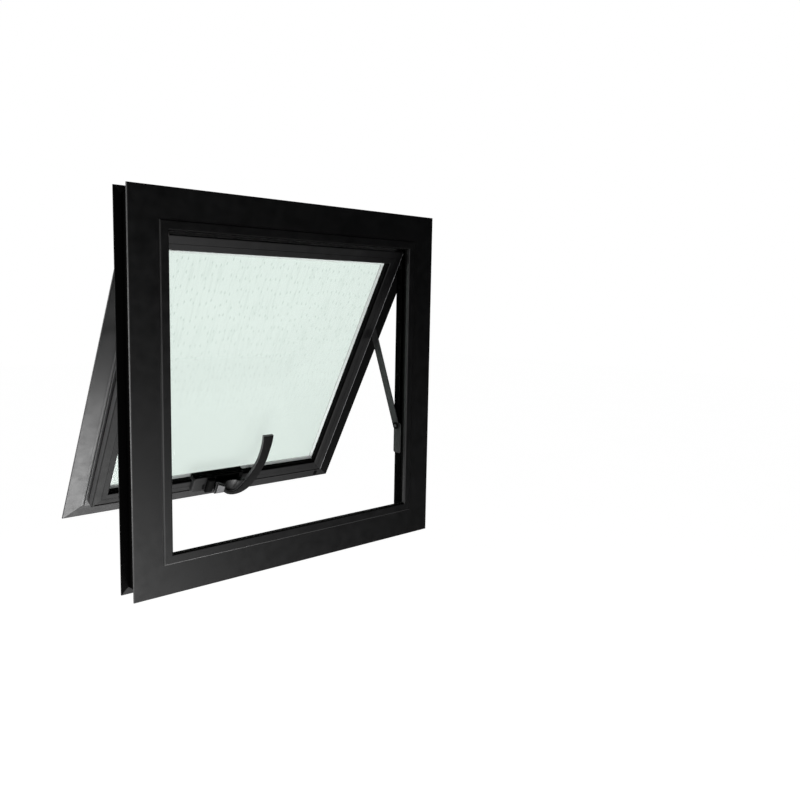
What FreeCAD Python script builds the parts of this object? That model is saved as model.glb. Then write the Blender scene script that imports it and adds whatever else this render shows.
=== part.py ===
import FreeCAD, Part
import math
import os

# Top-hung awning window, 600 x 600 mm, standing open on its friction stays.
# X runs to the right as seen from the room, Y runs outwards through the wall, Z runs up.
# The origin lies on the back of the room-side trim, at the middle of the sill's wall strip.

SIZES = [
    ("frame_width", 600.0, "outer width of the frame"),
    ("frame_height", 600.0, "outer height of the frame"),
    ("frame_depth", 45.6, "front of the trim to the back of the back flange"),
    ("trim_thick", 3.0, "thickness of the room-side trim"),
    ("trim_round", 0.8, "rounding of the outer edges of trim and back flange"),
    ("wall_strip", 11.0, "width of the flanges that grip the wall"),
    ("back_thick", 3.0, "thickness of the back flange"),
    ("reveal_inset", 44.0, "outer edge to the reveal behind the nose"),
    ("nose_start", 46.5, "outer edge to the foot of the raised nose"),
    ("nose_inset", 61.5, "outer edge to the inner edge of the nose"),
    ("nose_proud", 2.5, "nose in front of the trim"),
    ("nose_thick", 6.5, "nose, front to back"),
    ("nose_round", 2.2, "rounding of the nose's front edges"),
    ("frame_wall", 2.0, "wall of the frame's hollow"),
    ("screw_radius", 2.6, "fixing hole through a jamb"),
    ("screw_pitch", 300.0, "distance between a jamb's fixing holes"),
    ("screw_depth", 14.0, "fixing hole behind the trim"),
    ("seal_width", 6.0, "weather seal, across"),
    ("seal_depth", 4.0, "weather seal, front to back"),
    ("open_angle", 28.7, "sash from the vertical, in degrees"),
    ("sash_short", 80.0, "frame's height less the sash body's"),
    ("flange_side", 39.0, "side flange beyond the sash body"),
    ("flange_foot", 31.0, "lower flange beyond the sash body"),
    ("flange_thick", 3.0, "thickness of the sash flange"),
    ("flange_round", 0.7, "rounding of the sash flange's edge"),
    ("flange_clear", 4.2, "upper end of the side flanges behind the frame"),
    ("rail_width", 26.0, "sash body and bead, across"),
    ("tube_width", 14.0, "hollow part of the sash body, across"),
    ("body_front", 17.0, "sash body towards the room from the flange"),
    ("body_back", 6.0, "sash body outwards from the flange's room face"),
    ("sash_wall", 1.5, "wall of the sash's hollow"),
    ("edge_round", 2.0, "rounding of the sash body's front edge"),
    ("bead_round", 3.0, "rounding of the bead's inner edge"),
    ("bead_groove", 0.8, "rounding of the bead beside the sash body"),
    ("glass_front", 3.6, "room face of the glass, from the flange"),
    ("glass_thick", 5.0, "thickness of the pane"),
    ("glass_bite", 8.0, "pane behind the bead"),
    ("gasket_depth", 9.0, "room-side gasket, front to back"),
    ("gasket_width", 5.0, "room-side gasket, across"),
    ("bead_stand", 2.0, "bead in front of the glass"),
    ("strip_width", 6.0, "sash's weather strip, across"),
    ("strip_thick", 3.5, "sash's weather strip, front to back"),
    ("stay_inset", 7.6, "centre of the stay track from the frame's back"),
    ("stay_drop", 350.9, "lower stay pivot below the head's reveal"),
    ("stay_below", 171.9, "upper stay pivot below the sash body's top"),
    ("slider_below", 25.3, "slider below the sash body's top"),
    ("slider_drop", 41.8, "slider below the head's reveal"),
    ("stay_room", 12.6, "stay pivots, towards the room from the flange"),
    ("track_width", 15.0, "stay track, across"),
    ("track_thick", 1.5, "plate of the stay track"),
    ("track_lip", 1.2, "lip of the stay track, thick"),
    ("lip_rise", 1.9, "lip of the stay track above its plate"),
    ("track_tail", 53.0, "stay track below the lower pivot"),
    ("track_end", 5.0, "stay track's upper end below the head's reveal"),
    ("arm_width", 16.0, "stay arm, across"),
    ("arm_thick", 1.8, "stay arm, thick"),
    ("arm_gap", 1.2, "stay arm from the sash body"),
    ("arm_clear", 0.6, "stay arm from the track's lips"),
    ("pivot_radius", 3.0, "shank of a stay pivot"),
    ("pivot_fit", 0.05, "running clearance of the arm on its pivot"),
    ("pivot_head", 6.6, "head of a stay pivot, radius"),
    ("slider_play", 1.0, "slider from the track's lips"),
    ("handle_left", -64.0, "left end of the handle base"),
    ("handle_right", 42.0, "right end of the handle base"),
    ("handle_rise", 3.0, "handle base above the rail's lower edge"),
    ("handle_height", 36.0, "handle base, along the sash"),
    ("handle_thick", 8.0, "handle base in front of the rail"),
    ("handle_corner", 6.0, "corners of the handle base"),
    ("handle_round", 2.0, "rounding of the handle base's front edges"),
    ("handle_hook", 8.0, "handle base behind the bead's front"),
    ("hook_clear", 0.5, "handle hook from the bead and from the base's edges"),
    ("well_left", -17.0, "left end of the well behind the lever"),
    ("well_right", 33.0, "right end of the well behind the lever"),
    ("well_foot", 16.0, "well above the base's lower edge"),
    ("well_height", 17.0, "well, along the sash"),
    ("well_depth", 5.0, "well, front to back"),
    ("housing_across", -29.0, "middle of the pivot housing, to the right"),
    ("housing_width", 15.0, "pivot housing, across"),
    ("housing_height", 30.0, "pivot housing, along the sash"),
    ("housing_thick", 7.0, "pivot housing in front of the base"),
    ("housing_edge", 2.0, "broken front edges of the pivot housing"),
    ("hub_across", -10.0, "turning axis of the handle, to the right"),
    ("hub_lift", 12.0, "turning axis of the handle, above the base's lower edge"),
    ("hub_width", 20.0, "root of the lever, across"),
    ("hub_height", 26.0, "root of the lever, along the sash"),
    ("hub_slant", 7.0, "fall of the root's upper edge to the right"),
    ("spindle_radius", 6.0, "spindle of the lever"),
    ("lever_stand", 6.0, "lever in front of the base"),
    ("lever_thick", 6.0, "lever, thick"),
    ("lever_edge", 1.0, "broken front edges of the lever"),
    ("notch_across", 29.0, "turning axis to the middle of the finger notch"),
    ("notch_lift", 4.5, "middle of the finger notch above the turning axis"),
    ("notch_radius", 18.5, "finger notch"),
    ("notch_metal", 9.5, "lever below the finger notch"),
    ("heel_across", 38.0, "turning axis to the middle of the lever's round heel"),
    ("heel_radius", 38.0, "round heel of the lever"),
    ("blade_slope", 33.0, "blade's inner edge where it leaves the notch, in degrees from upright"),
    ("heel_slope", 28.0, "blade's outer edge where it leaves the heel, in degrees from upright"),
    ("blade_lean", 65.8, "turning axis to the blade's inner edge at its end"),
    ("blade_rise", 113.0, "turning axis to the end of the blade"),
    ("blade_end", 13.5, "blade at its end"),
    ("web_lift", 8.0, "upper edge of the web in the notch, above the turning axis"),
    ("web_stand", 1.0, "web in front of the base"),
    ("web_thick", 7.0, "web in the notch, thick"),
    ("web_bite", 1.0, "web into the lever's metal"),
    ("scoop_across", 25.0, "turning axis to the middle of the thumb scoop"),
    ("scoop_wide", 14.0, "thumb scoop, half its width"),
    ("scoop_tall", 21.0, "thumb scoop below the web's upper edge"),
    ("scoop_deep", 6.0, "thumb scoop, deep"),
    ("scoop_stand", 1.0, "middle of the thumb scoop in front of the web"),
    ("cap_thick", 2.0, "cap in front of the lever"),
    ("cap_inset", 1.0, "edge of the lever's root to the cap"),
    ("cap_edge", 0.6, "broken front edges of the cap"),
]

doc = FreeCAD.newDocument("awning_window")
sheet = doc.addObject("Spreadsheet::Sheet", "sizes")
for row, (alias, value, words) in enumerate(SIZES, 1):
    sheet.set(f"A{row}", alias)
    sheet.set(f"B{row}", str(value))
    sheet.set(f"C{row}", words)
    sheet.setAlias(f"B{row}", alias)
doc.recompute()


def size(alias):
    """Value of one driving dimension."""
    return float(sheet.get(alias))


def rounded(points):
    """Edges of a closed outline; a third number on a point rounds that corner."""
    count = len(points)
    starts, ends, arcs = [], [], []
    for i, point in enumerate(points):
        here = FreeCAD.Vector(point[0], point[1], 0)
        if len(point) == 2:
            starts.append(here)
            ends.append(here)
            arcs.append(None)
            continue
        back = (FreeCAD.Vector(*points[i - 1][:2], 0) - here).normalize()
        ahead = (FreeCAD.Vector(*points[(i + 1) % count][:2], 0) - here).normalize()
        half = back.getAngle(ahead) / 2
        reach = point[2] / math.tan(half)
        middle = (back + ahead).normalize() * (point[2] / math.sin(half) - point[2])
        starts.append(here + back * reach)
        ends.append(here + ahead * reach)
        arcs.append(Part.Arc(starts[-1], here + middle, ends[-1]))
    edges = []
    for i in range(count):
        if arcs[i]:
            edges.append(arcs[i])
        following = starts[(i + 1) % count]
        if ends[i].distanceToPoint(following) > 1e-6:
            edges.append(Part.LineSegment(ends[i], following))
    return edges


def oblong(left, low, right, high, corner=0.0):
    """Upright rectangle, with rounded corners if asked."""
    extra = (corner,) if corner else ()
    return rounded([(left, low, *extra), (right, low, *extra), (right, high, *extra), (left, high, *extra)])


def bar(start, end, half):
    """Round-ended bar between two points."""
    along = (end - start).normalize()
    across = FreeCAD.Vector(-along.y, along.x, 0) * half
    along = along * half
    corners = [start - along - across, end + along - across, end + along + across, start - along + across]
    return rounded([(c.x, c.y, half) for c in corners])


def disc(x, y, radius):
    """Circle as a closed outline."""
    return [Part.Circle(FreeCAD.Vector(x, y, 0), FreeCAD.Vector(0, 0, 1), radius)]


def new_body(label, place=None):
    """Empty body with its own name and place."""
    body = doc.addObject("PartDesign::Body", label)
    body.Label = label
    if place:
        body.Placement = place
    return body


def draw(body, plane, outlines, start=0.0):
    """Sketch of closed outlines on one of the body's own planes, moved along that plane's normal."""
    sketch = body.newObject("Sketcher::SketchObject", body.Name + "_outline")
    support = [f for f in body.Origin.OriginFeatures if f.Role == plane]
    sketch.AttachmentSupport = [(support[0], "")]
    sketch.MapMode = "FlatFace"
    sketch.AttachmentOffset = FreeCAD.Placement(FreeCAD.Vector(0, 0, start), FreeCAD.Rotation())
    for outline in outlines:
        for edge in outline:
            sketch.addGeometry(edge)
    return sketch


def pad(body, plane, outlines, length, start=0.0, both=False, back=False):
    """Extrusion of closed outlines; length is a formula on the sheet."""
    feature = body.newObject("PartDesign::Pad", body.Name + "_pad")
    feature.Profile = draw(body, plane, outlines, start)
    feature.setExpression("Length", length)
    feature.SideType = "Symmetric" if both else "One side"
    feature.Reversed = back
    return feature


def cut_through(body, plane, outlines):
    """Pocket through the whole body, both ways from the plane."""
    feature = body.newObject("PartDesign::Pocket", body.Name + "_cut")
    feature.Profile = draw(body, plane, outlines)
    feature.Type = "ThroughAll"
    feature.SideType = "Symmetric"
    return feature


def cut_in(body, plane, outlines, depth, start):
    """Pocket of a given depth from a level of the plane; depth is a formula on the sheet."""
    feature = body.newObject("PartDesign::Pocket", body.Name + "_well")
    feature.Profile = draw(body, plane, outlines, start)
    feature.setExpression("Length", depth)
    return feature


# Levels that several pieces share.
OVER = 1.0
low = -size("wall_strip") / 2
high = low + size("frame_height")
back_face = size("frame_depth") - size("trim_thick")
nose_back = size("nose_thick") - size("trim_thick") - size("nose_proud")
reveal_half = size("frame_width") / 2 - size("reveal_inset")
reveal_top = high - size("reveal_inset")
nose_half = size("frame_width") / 2 - size("nose_inset")
track_deep = size("track_thick") + size("lip_rise")
body_half = reveal_half - track_deep - size("arm_clear") - size("arm_thick") - size("arm_gap")
sash_half = body_half + size("flange_side")
body_foot = size("flange_foot")
body_top = body_foot + size("frame_height") - size("sash_short")
inner_half = body_half - size("rail_width")
inner_foot = body_foot + size("rail_width")
inner_top = body_top - size("rail_width")

# The same widths as formulas, for the lengths of extrusions.
WALL = "(sizes.frame_width / 2 - sizes.reveal_inset)"
LIP = f"({WALL} - sizes.track_thick - sizes.lip_rise)"
HALF = f"({LIP} - sizes.arm_clear - sizes.arm_thick - sizes.arm_gap)"
TALL = "(sizes.flange_foot + sizes.frame_height - sizes.sash_short)"

# The open sash hangs on its sliders, which run in the tracks, and is turned about them.
stay_out = back_face - size("stay_inset")
slider_lift = body_top - size("slider_below")
turn = FreeCAD.Rotation(FreeCAD.Vector(1, 0, 0), size("open_angle"))
slider_seat = FreeCAD.Vector(0, stay_out, reveal_top - size("slider_drop"))
SASH = FreeCAD.Placement(slider_seat - turn.multVec(FreeCAD.Vector(0, -size("stay_room"), slider_lift)), turn)
flange_reach = SASH.Base.y - back_face - size("flange_clear")
flange_top = flange_reach / math.sin(math.radians(size("open_angle")))


# Frame: one hollow extrusion, mitred at four corners. Locally x runs along the member,
# y through the wall and z inwards from the outer edge.

def frame_section():
    """Outline and hollow of the frame extrusion."""
    front, strip = -size("trim_thick"), size("wall_strip")
    nose = front - size("nose_proud")
    soft, edge = size("nose_round"), size("trim_round")
    outline = [
        (front, 0, edge), (front, size("nose_start")), (nose, size("nose_start"), soft),
        (nose, size("nose_inset"), soft), (nose_back, size("nose_inset")),
        (nose_back, size("reveal_inset")), (back_face, size("reveal_inset")),
        (back_face, 0, edge), (back_face - size("back_thick"), 0),
        (back_face - size("back_thick"), strip), (0, strip), (0, 0),
    ]
    wall = size("frame_wall")
    hollow = oblong(0, strip + wall, back_face - wall, size("reveal_inset") - wall)
    return [rounded(outline), hollow]


def frame_member(label, length, place, screws=False):
    """One side of the frame with its mitred ends."""
    body = new_body(label, place)
    pad(body, "YZ_Plane", frame_section(), "sizes." + length, both=True)
    end, deep = size(length) / 2, size("nose_inset") + OVER
    for side in (1, -1):
        waste = [(side * (end + OVER), -OVER), (side * (end + OVER), deep), (side * (end - deep), deep)]
        cut_through(body, "XZ_Plane", [rounded(waste)])
    if screws:
        reach = size("screw_pitch") / 2
        holes = [disc(x, size("screw_depth"), size("screw_radius")) for x in (-reach, reach)]
        cut_through(body, "XY_Plane", holes)


def turned(x, z, angle):
    """Place of a frame member: its outer edge's middle, and its turn about Y."""
    return FreeCAD.Placement(FreeCAD.Vector(x, 0, z), FreeCAD.Rotation(FreeCAD.Vector(0, 1, 0), angle))


middle = (low + high) / 2
frame_member("frame_sill", "frame_width", turned(0, low, 0))
frame_member("frame_head", "frame_width", turned(0, high, 180))
frame_member("frame_jamb_left", "frame_height", turned(-size("frame_width") / 2, middle, 90), True)
frame_member("frame_jamb_right", "frame_height", turned(size("frame_width") / 2, middle, -90), True)

seal = new_body("frame_seal")
edge, wide = size("nose_inset"), size("seal_width")
pad(seal, "XZ_Plane", [
    oblong(-nose_half, low + edge, nose_half, high - edge),
    oblong(-nose_half - wide, low + edge - wide, nose_half + wide, high - edge + wide),
], "sizes.seal_depth", start=-nose_back, back=True)


# Sash: sections are drawn as (outwards, inwards from the body's outer side). Locally x runs
# across the sash, y outwards and z up along the sash from its lower edge.

def sash_section(flange):
    """Outline and hollow of the sash extrusion, with a flange of the given width."""
    front, back, wall = -size("body_front"), size("body_back"), size("sash_wall")
    lip, tube, edge = size("flange_thick"), size("tube_width"), size("flange_round")
    outline = [
        (back, 0), (back, size("rail_width")), (lip, size("rail_width")), (lip, tube),
        (front, tube), (front, 0, size("edge_round")),
    ]
    if flange:
        outline += [(0, 0), (0, -flange, edge), (lip, -flange, edge), (lip, 0)]
    near, far = front + wall, back - wall
    return [outline, [(near, wall), (far, wall), (far, tube - wall), (near, tube - wall)]]


def bead_section():
    """Outline of a glazing bead with the step that holds the gasket."""
    front, tube, wide = -size("body_front"), size("tube_width"), size("rail_width")
    step = -size("glass_front") - size("gasket_depth")
    seat = wide - size("gasket_width")
    foot = -size("glass_front") - size("bead_stand")
    return [[
        (front, tube, size("bead_groove")), (front, wide, size("bead_round")),
        (step, wide), (step, seat), (foot, seat), (foot, tube),
    ]]


def corner_waste(side, place):
    """Outline of what a mitre removes beyond a corner of the sash, on the rail's or the stile's part."""
    outer, foot, top = sash_half, body_foot, body_top
    slope = foot / size("flange_side")
    low_mitre = [(outer + OVER, -OVER * slope), (body_half, foot), (inner_half - OVER, inner_foot + OVER)]
    top_mitre = [(body_half + OVER, top + OVER), (inner_half - OVER, inner_top - OVER)]
    outline = {
        "bottom": low_mitre + [(outer + OVER, inner_foot + OVER)],
        "top": top_mitre + [(body_half + OVER, inner_top - OVER)],
        "stile_foot": low_mitre + [(inner_half - OVER, -2 * OVER), (outer + OVER, -2 * OVER)],
        "stile_top": [
            (outer + OVER, flange_top), (outer + OVER, top + OVER), (inner_half - OVER, top + OVER),
            (inner_half - OVER, inner_top - OVER), (body_half, top), (body_half, flange_top),
        ],
    }[place]
    return rounded([(side * x, z) for x, z in outline])


def sash_member(label, place, section):
    """A rail, stile or bead of the sash, cut to its mitres."""
    body = new_body(label, SASH)
    if place in ("left", "right"):
        side = 1 if place == "right" else -1
        loops = [[(side * (body_half - m), y, *r) for y, m, *r in loop] for loop in section]
        pad(body, "XY_Plane", [rounded(loop) for loop in loops], TALL)
        for end in ("stile_foot", "stile_top"):
            cut_through(body, "XZ_Plane", [corner_waste(side, end)])
        return
    start, way = (body_foot, 1) if place == "bottom" else (body_top, -1)
    loops = [[(y, start + way * m, *r) for y, m, *r in loop] for loop in section]
    length = f"2 * ({HALF} + sizes.flange_side)" if place == "bottom" else f"2 * {HALF}"
    pad(body, "YZ_Plane", [rounded(loop) for loop in loops], length, both=True)
    for side in (1, -1):
        cut_through(body, "XZ_Plane", [corner_waste(side, place)])


sash_member("sash_rail_bottom", "bottom", sash_section(size("flange_foot")))
sash_member("sash_rail_top", "top", sash_section(0))
sash_member("sash_stile_left", "left", sash_section(size("flange_side")))
sash_member("sash_stile_right", "right", sash_section(size("flange_side")))
for place in ("bottom", "top", "left", "right"):
    sash_member("bead_" + place, place, bead_section())


def sash_ring(label, grow, inset, front, depth):
    """Rectangular ring round the pane: outer size by how far it reaches behind the bead."""
    body = new_body(label, SASH)
    outer = oblong(-inner_half - grow, inner_foot - grow, inner_half + grow, inner_top + grow)
    hole = oblong(-inner_half - inset, inner_foot - inset, inner_half + inset, inner_top + inset)
    pad(body, "XZ_Plane", [outer, hole], depth, start=front)


bite = size("glass_bite")
glass_back = size("glass_front") - size("glass_thick")
pane = new_body("glass_pane", SASH)
pad(pane, "XZ_Plane", [oblong(-inner_half - bite, inner_foot - bite, inner_half + bite, inner_top + bite)],
    "sizes.glass_thick", start=glass_back)
sash_ring("gasket_room_side", size("gasket_width"), 0, size("glass_front"), "sizes.gasket_depth")
sash_ring("gasket_outside", bite, 0, -size("flange_thick"),
          "sizes.flange_thick + sizes.glass_front - sizes.glass_thick")

strip = new_body("sash_seal", SASH)
near, far = body_half, body_half + size("strip_width")
pad(strip, "XZ_Plane", [rounded([
    (-far, flange_top), (-far, body_foot - size("strip_width")), (far, body_foot - size("strip_width")),
    (far, flange_top), (near, flange_top), (near, body_foot), (-near, body_foot), (-near, flange_top),
])], "sizes.strip_thick")


# Stays: plates that lie in the gap between the sash body and the jamb, mirrored to both sides.

def on_sash(lift, room):
    """Point of the sash's side, seen along X: outwards and up."""
    point = SASH.multVec(FreeCAD.Vector(0, -room, lift))
    return FreeCAD.Vector(point.y, point.z, 0)


def plate(body, side, outlines, inner, outer):
    """Plate across X between two distances from the middle, given as formulas on the sheet."""
    start = side * inner[1]
    pad(body, "YZ_Plane", outlines, f"{outer[0]} - ({inner[0]})", start=start, back=side < 0)


X_BODY = (HALF, body_half)
X_ARM = (HALF + " + sizes.arm_gap", body_half + size("arm_gap"))
X_ARM_BACK = (X_ARM[0] + " + sizes.arm_thick", X_ARM[1] + size("arm_thick"))
X_LIP = (LIP, reveal_half - track_deep)
X_TRACK = (WALL + " - sizes.track_thick", reveal_half - size("track_thick"))
X_WALL = (WALL, reveal_half)
pivot_low = FreeCAD.Vector(stay_out, reveal_top - size("stay_drop"), 0)
pivot_high = on_sash(body_top - size("stay_below"), size("stay_room"))
slider = on_sash(slider_lift, size("stay_room"))

for name, side in (("left", -1), ("right", 1)):
    track = new_body("stay_track_" + name)
    tail = size("track_width") / 2
    y0, y1 = stay_out - tail, stay_out + tail
    bottom, top = pivot_low.y - size("track_tail"), reveal_top - size("track_end")
    strap = rounded([(y0, bottom, tail), (y1, bottom, tail), (y1, top), (y0, top)])
    plate(track, side, [strap], X_TRACK, X_WALL)
    lip = size("track_lip")
    lips = [oblong(y, pivot_low.y + 2 * tail, y + lip, top) for y in (y0, y1 - lip)]
    plate(track, side, lips, X_LIP, X_TRACK)

    arm = new_body("stay_arm_" + name)
    hole = size("pivot_radius") + size("pivot_fit")
    strap = bar(pivot_low, pivot_high, size("arm_width") / 2)
    plate(arm, side, [strap, disc(pivot_low.x, pivot_low.y, hole)], X_ARM, X_ARM_BACK)
    plate(arm, side, [disc(pivot_high.x, pivot_high.y, size("arm_width") / 3)], X_BODY, X_ARM)

    pivot = new_body("stay_pivot_" + name)
    plate(pivot, side, [disc(pivot_low.x, pivot_low.y, size("pivot_head"))], X_BODY, X_ARM)
    plate(pivot, side, [disc(pivot_low.x, pivot_low.y, size("pivot_radius"))], X_ARM, X_ARM_BACK)
    plate(pivot, side, [disc(pivot_low.x, pivot_low.y, size("arm_width") / 3)], X_ARM_BACK, X_TRACK)

    shoe = new_body("stay_slider_" + name)
    clear = tail - lip - size("slider_play")
    block = oblong(slider.x - clear, slider.y - 2 * clear, slider.x + clear, slider.y + 2 * clear, clear / 2)
    plate(shoe, side, [block], X_LIP, X_TRACK)
    plate(shoe, side, [disc(slider.x, slider.y, clear)], X_BODY, X_LIP)


# Handle: its plates lie on the bottom rail and grow towards the room.

def soften(body, width, level, kind="Chamfer"):
    """Breaks or rounds the edges of a body's room-side face, that far in front of the flange."""
    doc.recompute()
    base = body.Tip
    feature = body.newObject("PartDesign::" + kind, body.Name + "_edge")
    edges = enumerate(base.Shape.Edges, 1)
    feature.Base = (base, [f"Edge{i}" for i, e in edges if all(abs(v.Y + level) < 1e-6 for v in e.Vertexes)])
    feature.setExpression("Size" if kind == "Chamfer" else "Radius", "sizes." + width)
    body.Tip = feature


left, right = size("handle_left"), size("handle_right")
foot = body_foot + size("handle_rise")
top = foot + size("handle_height")
rail_face = size("body_front")
base_face = rail_face + size("handle_thick")
base = new_body("handle_base", SASH)
front = oblong(left, foot, right, top, size("handle_corner"))
pad(base, "XZ_Plane", [front], "sizes.handle_thick", start=rail_face)
gap = size("hook_clear")
hook = oblong(left + gap, inner_foot + gap, right - gap, top - gap)
pad(base, "XZ_Plane", [hook], "sizes.handle_hook", start=rail_face - size("handle_hook"))
soften(base, "handle_round", base_face, "Fillet")
well_foot = foot + size("well_foot")
well = oblong(size("well_left"), well_foot, size("well_right"), well_foot + size("well_height"))
cut_in(base, "XZ_Plane", [well], "sizes.well_depth", base_face)

housing = new_body("handle_cam", SASH)
x, wide, tall = size("housing_across"), size("housing_width") / 2, size("housing_height")
front = oblong(x - wide, foot, x + wide, foot + tall)
pad(housing, "XZ_Plane", [front], "sizes.housing_thick", start=base_face)
soften(housing, "housing_edge", base_face + size("housing_thick"))

hub = FreeCAD.Vector(size("hub_across"), foot + size("hub_lift"), 0)
hub_wide, hub_tall = size("hub_width") / 2, size("hub_height") / 2
inner_slope, outer_slope = math.radians(size("blade_slope")), math.radians(size("heel_slope"))


def at(across, lift):
    """Point of the lever's plane, from the turning axis."""
    return hub + FreeCAD.Vector(across, lift, 0)


def notch_points(grow=0.0):
    """Left side, bottom and blade side of the finger notch, grown into the metal."""
    across, lift = size("notch_across"), size("notch_lift")
    radius = size("notch_radius") + grow
    blade = at(across + radius * math.cos(inner_slope), lift - radius * math.sin(inner_slope))
    return at(across - radius, lift), at(across, lift - radius), blade


def swing(start, end, slope):
    """Arc that leaves its start at a slope from upright."""
    chord = end - start
    bend = (slope - math.atan2(chord.x, chord.y)) / 2
    aside = FreeCAD.Vector(chord.y, -chord.x, 0) * (math.tan(bend) / 2)
    return Part.Arc(start, (start + end) / 2 + aside, end)


def lever_outline():
    """Sickle-shaped lever: a slanted root, a finger notch beside it, a round heel and a rising blade."""
    heel, big = size("heel_across"), size("heel_radius")
    notch = notch_points()
    heel_lift = notch[1].y - hub.y - size("notch_metal") + big
    heel_end = at(heel + big * math.cos(outer_slope), heel_lift - big * math.sin(outer_slope))
    heel_start = at(heel - math.sqrt(big ** 2 - (hub_tall + heel_lift) ** 2), -hub_tall)
    tip = at(size("blade_lean"), size("blade_rise"))
    tip_outer = tip + FreeCAD.Vector(size("blade_end"), 0, 0)
    root = [
        notch[0], at(notch[0].x - hub.x, hub_tall - size("hub_slant")),
        at(-hub_wide, hub_tall), at(-hub_wide, -hub_tall), heel_start,
    ]
    return [Part.LineSegment(a, b) for a, b in zip(root, root[1:])] + [
        Part.Arc(heel_start, at(heel, heel_lift - big), heel_end),
        swing(heel_end, tip_outer, outer_slope),
        Part.LineSegment(tip_outer, tip),
        swing(notch[2], tip, inner_slope),
        Part.Arc(*notch),
    ]


def web_outline():
    """Web that closes the lower part of the finger notch."""
    side, bottom, blade = notch_points(size("web_bite"))
    lift = at(0, size("web_lift")).y
    left = FreeCAD.Vector(side.x, lift, 0)
    right = FreeCAD.Vector(blade.x + (lift - blade.y) * math.tan(inner_slope), lift, 0)
    return [
        Part.LineSegment(left, side), Part.Arc(side, bottom, blade),
        Part.LineSegment(blade, right), Part.LineSegment(right, left),
    ]


lever = new_body("handle_lever", SASH)
lever_back = base_face + size("lever_stand")
lever_face = lever_back + size("lever_thick")
pad(lever, "XZ_Plane", [lever_outline()], "sizes.lever_thick", start=lever_back)
spindle = disc(hub.x, hub.y, size("spindle_radius"))
pad(lever, "XZ_Plane", [spindle], "sizes.lever_stand", start=base_face)
soften(lever, "lever_edge", lever_face)
web_back = base_face + size("web_stand")
pad(lever, "XZ_Plane", [web_outline()], "sizes.web_thick", start=web_back)
scoop = lever.newObject("PartDesign::SubtractiveEllipsoid", "handle_lever_scoop")
for radius, alias in (("Radius1", "scoop_tall"), ("Radius2", "scoop_wide"), ("Radius3", "scoop_deep")):
    scoop.setExpression(radius, "sizes." + alias)
deep = web_back + size("web_thick") + size("scoop_stand")
middle = at(size("scoop_across"), size("web_lift"))
scoop.Placement.Base = FreeCAD.Vector(middle.x, -deep, middle.y)

cap = new_body("handle_cap", SASH)
edge = size("cap_inset") + size("lever_edge")
left, right = hub.x - hub_wide + edge, notch_points()[0].x - edge
foot, top = hub.y - hub_tall + edge, hub.y + hub_tall - edge
pad(cap, "XZ_Plane", [rounded([(left, foot), (right, foot), (right, top - size("hub_slant")), (left, top)])],
    "sizes.cap_thick", start=lever_face)
soften(cap, "cap_edge", lever_face + size("cap_thick"))


# Checks and files.
doc.recompute()
faults = [o.Name for o in doc.Objects if "Invalid" in o.State or "Error" in o.State]
bodies = [o for o in doc.Objects if o.TypeId == "PartDesign::Body"]
faults += [b.Name for b in bodies if b.Shape.isNull() or not b.Shape.isValid() or not b.Shape.Solids]
if faults:
    raise RuntimeError("pieces that failed: " + ", ".join(faults))

os.makedirs("parts", exist_ok=True)
for body in bodies:
    body.Shape.exportStep("parts/" + body.Label + ".step")
    print(body.Label, len(body.Shape.Solids), round(body.Shape.Volume))
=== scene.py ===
"""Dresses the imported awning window: finishes, small hardware, studio and camera."""
import logging
import math
from contextlib import contextmanager
from dataclasses import dataclass, field
from enum import Enum
from functools import partial, reduce
from typing import Callable, Iterator, Sequence

import bmesh
import bpy
from mathutils import Matrix, Vector


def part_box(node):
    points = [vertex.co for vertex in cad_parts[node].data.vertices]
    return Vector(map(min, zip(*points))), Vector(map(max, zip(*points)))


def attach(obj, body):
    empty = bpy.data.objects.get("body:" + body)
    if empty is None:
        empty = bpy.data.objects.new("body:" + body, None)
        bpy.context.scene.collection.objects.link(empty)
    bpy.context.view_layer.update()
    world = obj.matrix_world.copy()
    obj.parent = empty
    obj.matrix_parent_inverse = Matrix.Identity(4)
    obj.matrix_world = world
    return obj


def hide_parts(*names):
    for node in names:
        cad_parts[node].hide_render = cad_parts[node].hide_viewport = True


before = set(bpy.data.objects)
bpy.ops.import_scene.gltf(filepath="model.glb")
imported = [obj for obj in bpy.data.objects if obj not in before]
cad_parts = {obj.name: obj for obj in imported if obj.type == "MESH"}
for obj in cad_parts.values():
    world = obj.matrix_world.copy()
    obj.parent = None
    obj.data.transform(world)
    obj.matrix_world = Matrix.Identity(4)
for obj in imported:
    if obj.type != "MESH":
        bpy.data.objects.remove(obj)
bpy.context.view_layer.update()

log = logging.getLogger("awning_window")

MM = 0.001
BODY = "root"
ACROSS, OUTWARD, UP = (1, 0, 0), (0, 1, 0), (0, 0, 1)
FLAT = 0.9

# Shares of painted shade, from an open face to the darkest painted shade, and shares of a painted
# highlight on an edge, from none to full.
OPEN, LOW, SOFT, DIM, PITCH = 1.0, 0.78, 0.62, 0.2, 0.02
NO_HIGHLIGHT, FULL_HIGHLIGHT = 1.0, 0.0

Colour = tuple[float, float, float]
Point = tuple[float, float, float]
Pair = tuple[float, float]
Socket = bpy.types.NodeSocket
Material = bpy.types.Material
Piece = bpy.types.Object
Element = bmesh.types.BMVert | bmesh.types.BMEdge | bmesh.types.BMFace


class Slot(Enum):
    """Material slots of the record, named for the scene's own pieces."""

    STAY = "stay_steel"
    HANDLE = "handle_paint"
    SASH = "sash_paint"


class Part(Enum):
    """Parts of a mesh: how they are selected and the list that holds them."""

    POINTS = ("VERT", "verts")
    EDGES = ("EDGE", "edges")
    FACES = ("FACE", "faces")


class Side(Enum):
    """The two sides of the window as seen from the room."""

    LEFT = -1
    RIGHT = 1


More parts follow.
